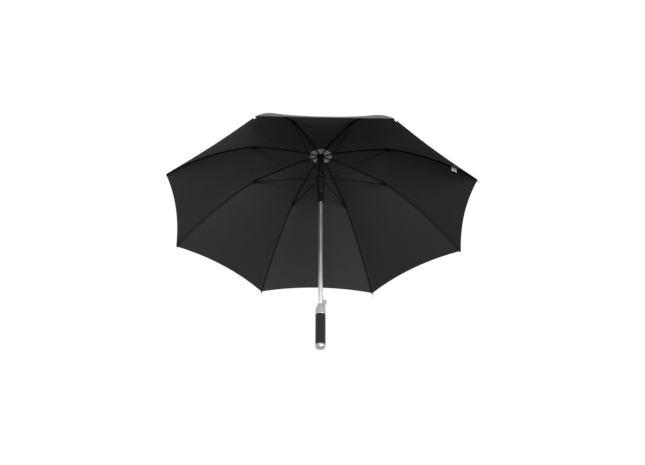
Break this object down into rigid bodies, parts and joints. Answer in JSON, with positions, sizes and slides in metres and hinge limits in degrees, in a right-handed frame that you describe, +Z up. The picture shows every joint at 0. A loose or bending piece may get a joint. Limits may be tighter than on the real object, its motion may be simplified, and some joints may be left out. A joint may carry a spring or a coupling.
{
  "type": "stick umbrella",
  "caption": "Open stick umbrella with a ribbed fabric canopy, sprung runner on a straight metal shaft, release lever and a foam handle.",
  "frame": {"origin": "middle of the foam grip, on the shaft's axis", "axes": "+Z up the shaft to the crown; +X to the side with the release lever; -Y the side nearest the viewer"},
  "size_m": [0.9918, 0.9918, 0.7991],
  "materials": {
    "shaft": "drawn, clear anodised",
    "chrome": "bright plated",
    "black_steel": "black lacquer",
    "spring_steel": "oil tempered wire",
    "tip_metal": "nickel plated",
    "fibreglass": "black pultruded rod",
    "black_plastic": "moulded",
    "foam": "matte closed-cell foam",
    "canopy": "plain weave, water repellent",
    "lining": "woven patch",
    "label": "satin tape"
  },
  "bodies": {
    "root": {"shaft_tube": "shaft", "top_ferrule": "black_plastic", "crown_cap": "black_steel", "crown_lining": "lining", "top_notch": "black_plastic", "notch_wire": "black_steel", "opening_spring": "spring_steel", "spring_seat": "black_plastic", "handle_core": "black_plastic", "foam_grip": "foam", "collar": "chrome", "end_cap": "chrome", "lever_housing": "chrome", "lever_pin": "spring_steel"},
    "rib_inner_1": {"rib_inner_1": "fibreglass", "canopy_section_1": "canopy"},
    "rib_inner_2": {"rib_inner_2": "fibreglass", "canopy_section_2": "canopy"},
    "rib_inner_3": {"rib_inner_3": "fibreglass", "canopy_section_3": "canopy"},
    "rib_inner_4": {"rib_inner_4": "fibreglass", "canopy_section_4": "canopy"},
    "rib_inner_5": {"rib_inner_5": "fibreglass", "canopy_section_5": "canopy"},
    "rib_inner_6": {"rib_inner_6": "fibreglass", "canopy_section_6": "canopy"},
    "rib_inner_7": {"rib_inner_7": "fibreglass", "canopy_section_7": "canopy"},
    "rib_inner_8": {"rib_inner_8": "fibreglass", "canopy_section_8": "canopy"},
    "rib_outer_1": {"rib_outer_1": "fibreglass", "rib_tip_1": "tip_metal"},
    "rib_outer_2": {"rib_outer_2": "fibreglass", "rib_tip_2": "tip_metal", "care_label": "label"},
    "rib_outer_3": {"rib_outer_3": "fibreglass", "rib_tip_3": "tip_metal"},
    "rib_outer_4": {"rib_outer_4": "fibreglass", "rib_tip_4": "tip_metal"},
    "rib_outer_5": {"rib_outer_5": "fibreglass", "rib_tip_5": "tip_metal"},
    "rib_outer_6": {"rib_outer_6": "fibreglass", "rib_tip_6": "tip_metal"},
    "rib_outer_7": {"rib_outer_7": "fibreglass", "rib_tip_7": "tip_metal"},
    "rib_outer_8": {"rib_outer_8": "fibreglass", "rib_tip_8": "tip_metal"},
    "stretcher_1": {"stretcher_1": "black_steel"},
    "stretcher_2": {"stretcher_2": "black_steel"},
    "stretcher_3": {"stretcher_3": "black_steel"},
    "stretcher_4": {"stretcher_4": "black_steel"},
    "stretcher_5": {"stretcher_5": "black_steel"},
    "stretcher_6": {"stretcher_6": "black_steel"},
    "stretcher_7": {"stretcher_7": "black_steel"},
    "stretcher_8": {"stretcher_8": "black_steel"},
    "runner": {"runner_body": "black_plastic", "runner_skirt": "black_steel", "runner_wire": "black_steel", "spring_plunger": "black_plastic"},
    "release_lever": {"release_lever": "chrome"}
  },
  "joints": [
    {"name": "canopy_fold", "type": "hinge", "parent": "root", "child": "rib_inner_1", "pos_m": [0.0039, -0.00942, 0.672], "axis": [0.9239, 0.3827, 0], "range_deg": [0, 72], "stiffness_Nm_per_rad": 2.5, "springref_deg": -85.94, "deforming": ["canopy_section_1", "opening_spring", "crown_lining"]},
    {"name": "rib_fold_2", "type": "hinge", "parent": "root", "child": "rib_inner_2", "pos_m": [0.00942, -0.0039, 0.672], "axis": [0.3827, 0.9239, 0], "range_deg": [0, 72], "deforming": ["canopy_section_2"]},
    {"name": "rib_fold_3", "type": "hinge", "parent": "root", "child": "rib_inner_3", "pos_m": [0.00942, 0.0039, 0.672], "axis": [-0.3827, 0.9239, 0], "range_deg": [0, 72], "deforming": ["canopy_section_3"]},
    {"name": "rib_fold_4", "type": "hinge", "parent": "root", "child": "rib_inner_4", "pos_m": [0.0039, 0.00942, 0.672], "axis": [-0.9239, 0.3827, 0], "range_deg": [0, 72], "deforming": ["canopy_section_4"]},
    {"name": "rib_fold_5", "type": "hinge", "parent": "root", "child": "rib_inner_5", "pos_m": [-0.0039, 0.00942, 0.672], "axis": [-0.9239, -0.3827, 0], "range_deg": [0, 72], "deforming": ["canopy_section_5"]},
    {"name": "rib_fold_6", "type": "hinge", "parent": "root", "child": "rib_inner_6", "pos_m": [-0.00942, 0.0039, 0.672], "axis": [-0.3827, -0.9239, 0], "range_deg": [0, 72], "deforming": ["canopy_section_6"]},
    {"name": "rib_fold_7", "type": "hinge", "parent": "root", "child": "rib_inner_7", "pos_m": [-0.00942, -0.0039, 0.672], "axis": [0.3827, -0.9239, 0], "range_deg": [0, 72], "deforming": ["canopy_section_7"]},
    {"name": "rib_fold_8", "type": "hinge", "parent": "root", "child": "rib_inner_8", "pos_m": [-0.0039, -0.00942, 0.672], "axis": [0.9239, -0.3827, 0], "range_deg": [0, 72], "deforming": ["canopy_section_8"]},
    {"name": "rib_flex_1", "type": "hinge", "parent": "rib_inner_1", "child": "rib_outer_1", "pos_m": [0.09476, -0.22877, 0.63037], "axis": [0.9239, 0.3827, 0], "range_deg": [-17, 0]},
    {"name": "rib_flex_2", "type": "hinge", "parent": "rib_inner_2", "child": "rib_outer_2", "pos_m": [0.22877, -0.09476, 0.63037], "axis": [0.3827, 0.9239, 0], "range_deg": [-17, 0]},
    {"name": "rib_flex_3", "type": "hinge", "parent": "rib_inner_3", "child": "rib_outer_3", "pos_m": [0.22877, 0.09476, 0.63037], "axis": [-0.3827, 0.9239, 0], "range_deg": [-17, 0]},
    {"name": "rib_flex_4", "type": "hinge", "parent": "rib_inner_4", "child": "rib_outer_4", "pos_m": [0.09476, 0.22877, 0.63037], "axis": [-0.9239, 0.3827, 0], "range_deg": [-17, 0]},
    {"name": "rib_flex_5", "type": "hinge", "parent": "rib_inner_5", "child": "rib_outer_5", "pos_m": [-0.09476, 0.22877, 0.63037], "axis": [-0.9239, -0.3827, 0], "range_deg": [-17, 0]},
    {"name": "rib_flex_6", "type": "hinge", "parent": "rib_inner_6", "child": "rib_outer_6", "pos_m": [-0.22877, 0.09476, 0.63037], "axis": [-0.3827, -0.9239, 0], "range_deg": [-17, 0]},
    {"name": "rib_flex_7", "type": "hinge", "parent": "rib_inner_7", "child": "rib_outer_7", "pos_m": [-0.22877, -0.09476, 0.63037], "axis": [0.3827, -0.9239, 0], "range_deg": [-17, 0]},
    {"name": "rib_flex_8", "type": "hinge", "parent": "rib_inner_8", "child": "rib_outer_8", "pos_m": [-0.09476, -0.22877, 0.63037], "axis": [0.9239, -0.3827, 0], "range_deg": [-17, 0]},
    {"name": "stretcher_fold_1", "type": "hinge", "parent": "rib_inner_1", "child": "stretcher_1", "pos_m": [0.09098, -0.21964, 0.62879], "axis": [0.9239, 0.3827, 0], "range_deg": [-144, 0]},
    {"name": "stretcher_fold_2", "type": "hinge", "parent": "rib_inner_2", "child": "stretcher_2", "pos_m": [0.21964, -0.09098, 0.62879], "axis": [0.3827, 0.9239, 0], "range_deg": [-144, 0]},
    {"name": "stretcher_fold_3", "type": "hinge", "parent": "rib_inner_3", "child": "stretcher_3", "pos_m": [0.21964, 0.09098, 0.62879], "axis": [-0.3827, 0.9239, 0], "range_deg": [-144, 0]},
    {"name": "stretcher_fold_4", "type": "hinge", "parent": "rib_inner_4", "child": "stretcher_4", "pos_m": [0.09098, 0.21964, 0.62879], "axis": [-0.9239, 0.3827, 0], "range_deg": [-144, 0]},
    {"name": "stretcher_fold_5", "type": "hinge", "parent": "rib_inner_5", "child": "stretcher_5", "pos_m": [-0.09098, 0.21964, 0.62879], "axis": [-0.9239, -0.3827, 0], "range_deg": [-144, 0]},
    {"name": "stretcher_fold_6", "type": "hinge", "parent": "rib_inner_6", "child": "stretcher_6", "pos_m": [-0.21964, 0.09098, 0.62879], "axis": [-0.3827, -0.9239, 0], "range_deg": [-144, 0]},
    {"name": "stretcher_fold_7", "type": "hinge", "parent": "rib_inner_7", "child": "stretcher_7", "pos_m": [-0.21964, -0.09098, 0.62879], "axis": [0.3827, -0.9239, 0], "range_deg": [-144, 0]},
    {"name": "stretcher_fold_8", "type": "hinge", "parent": "rib_inner_8", "child": "stretcher_8", "pos_m": [-0.09098, -0.21964, 0.62879], "axis": [0.9239, -0.3827, 0], "range_deg": [-144, 0]},
    {"name": "runner_pivot", "type": "hinge", "parent": "stretcher_1", "child": "runner", "pos_m": [0.0039, -0.00942, 0.58557], "axis": [0.9239, 0.3827, 0], "range_deg": [0, 72]},
    {"name": "release_press", "type": "hinge", "parent": "root", "child": "release_lever", "pos_m": [0.0106, 0, 0.0845], "axis": [0, -1, 0], "range_deg": [0, 5], "stiffness_Nm_per_rad": 0.5, "springref_deg": -8.59}
  ],
  "couplings": [
    {"joint": "rib_fold_2", "follows": "canopy_fold", "ratio": 1},
    {"joint": "rib_fold_3", "follows": "canopy_fold", "ratio": 1},
    {"joint": "rib_fold_4", "follows": "canopy_fold", "ratio": 1},
    {"joint": "rib_fold_5", "follows": "canopy_fold", "ratio": 1},
    {"joint": "rib_fold_6", "follows": "canopy_fold", "ratio": 1},
    {"joint": "rib_fold_7", "follows": "canopy_fold", "ratio": 1},
    {"joint": "rib_fold_8", "follows": "canopy_fold", "ratio": 1},
    {"joint": "rib_flex_1", "follows": "canopy_fold", "ratio": -0.23611},
    {"joint": "rib_flex_2", "follows": "canopy_fold", "ratio": -0.23611},
    {"joint": "rib_flex_3", "follows": "canopy_fold", "ratio": -0.23611},
    {"joint": "rib_flex_4", "follows": "canopy_fold", "ratio": -0.23611},
    {"joint": "rib_flex_5", "follows": "canopy_fold", "ratio": -0.23611},
    {"joint": "rib_flex_6", "follows": "canopy_fold", "ratio": -0.23611},
    {"joint": "rib_flex_7", "follows": "canopy_fold", "ratio": -0.23611},
    {"joint": "rib_flex_8", "follows": "canopy_fold", "ratio": -0.23611},
    {"joint": "stretcher_fold_1", "follows": "canopy_fold", "ratio": -2},
    {"joint": "stretcher_fold_2", "follows": "canopy_fold", "ratio": -2},
    {"joint": "stretcher_fold_3", "follows": "canopy_fold", "ratio": -2},
    {"joint": "stretcher_fold_4", "follows": "canopy_fold", "ratio": -2},
    {"joint": "stretcher_fold_5", "follows": "canopy_fold", "ratio": -2},
    {"joint": "stretcher_fold_6", "follows": "canopy_fold", "ratio": -2},
    {"joint": "stretcher_fold_7", "follows": "canopy_fold", "ratio": -2},
    {"joint": "stretcher_fold_8", "follows": "canopy_fold", "ratio": -2},
    {"joint": "runner_pivot", "follows": "canopy_fold", "ratio": 1}
  ]
}
